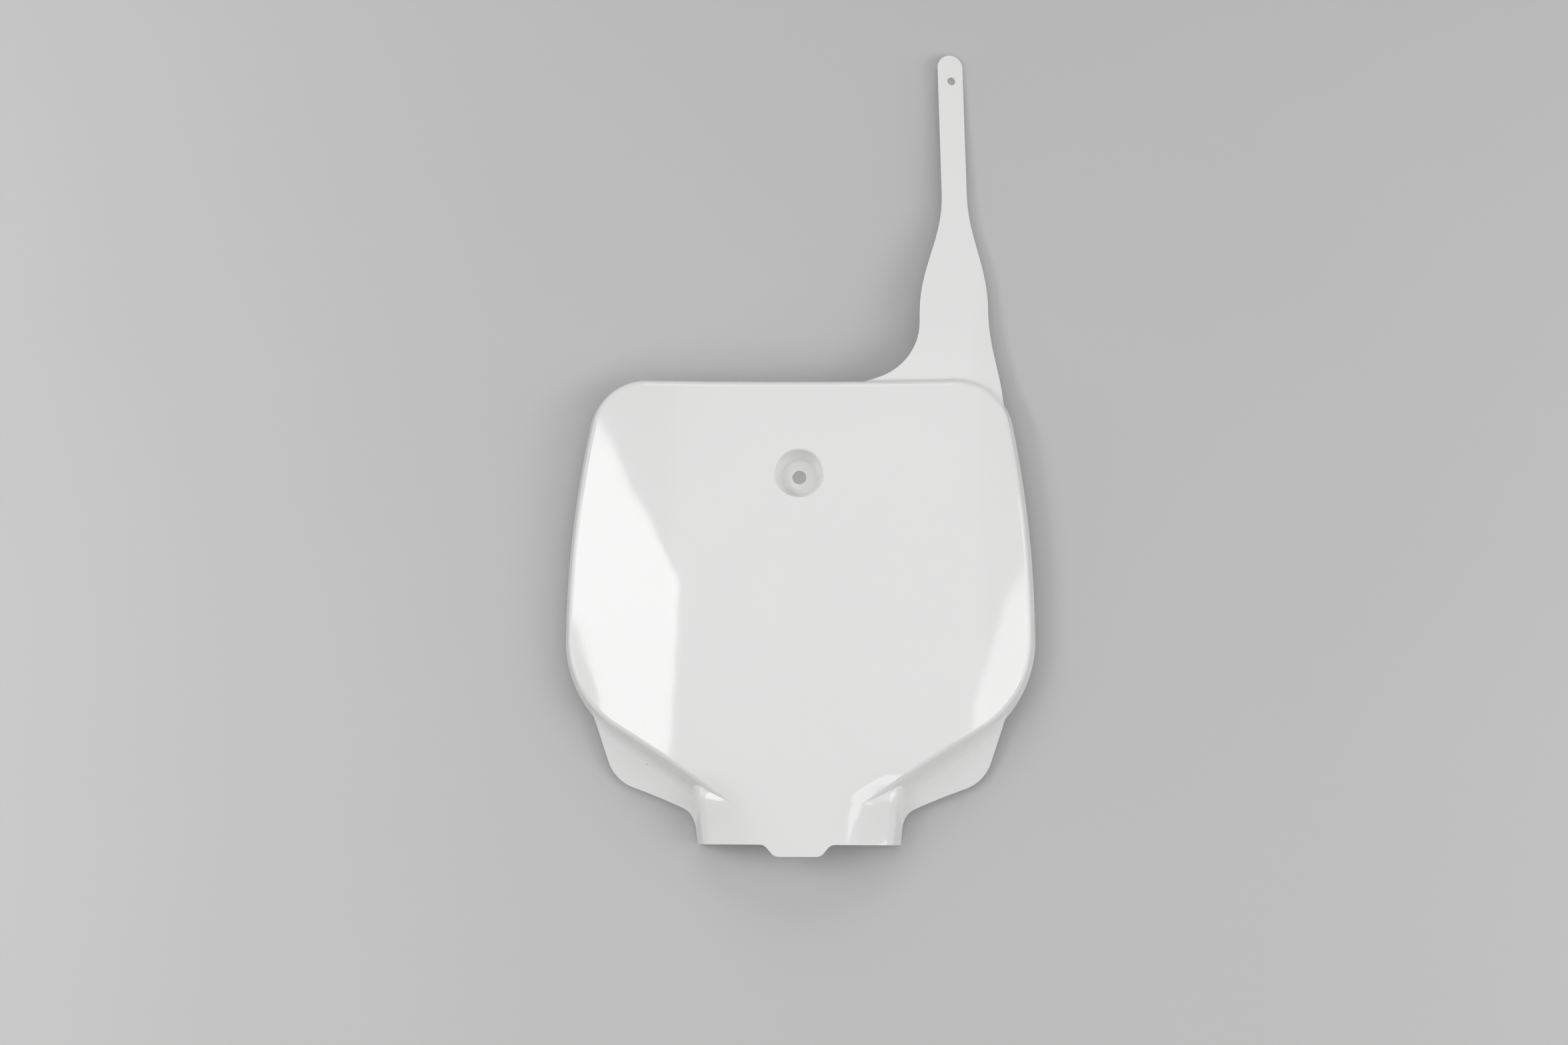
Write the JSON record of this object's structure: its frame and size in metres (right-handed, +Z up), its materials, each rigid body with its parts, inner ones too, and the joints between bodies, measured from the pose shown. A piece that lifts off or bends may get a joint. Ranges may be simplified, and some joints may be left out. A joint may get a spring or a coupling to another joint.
{
  "type": "racing number board",
  "caption": "Shield-shaped moulded plastic number board with a domed face, a recessed bolt cup, an arched lower crown between flat ears, and a long fixing strap at one upper corner.",
  "frame": {"origin": "centre of the bolt hole, halfway through the floor of the cup", "axes": "+X to the side that carries the strap, +Y along the strap towards its tip, +Z up out of the face, square to the table the board lies on"},
  "size_m": [0.2284, 0.4013, 0.039],
  "materials": {
    "white_plastic": "gloss"
  },
  "bodies": {
    "root": {"number_board": "white_plastic"}
  },
  "joints": []
}
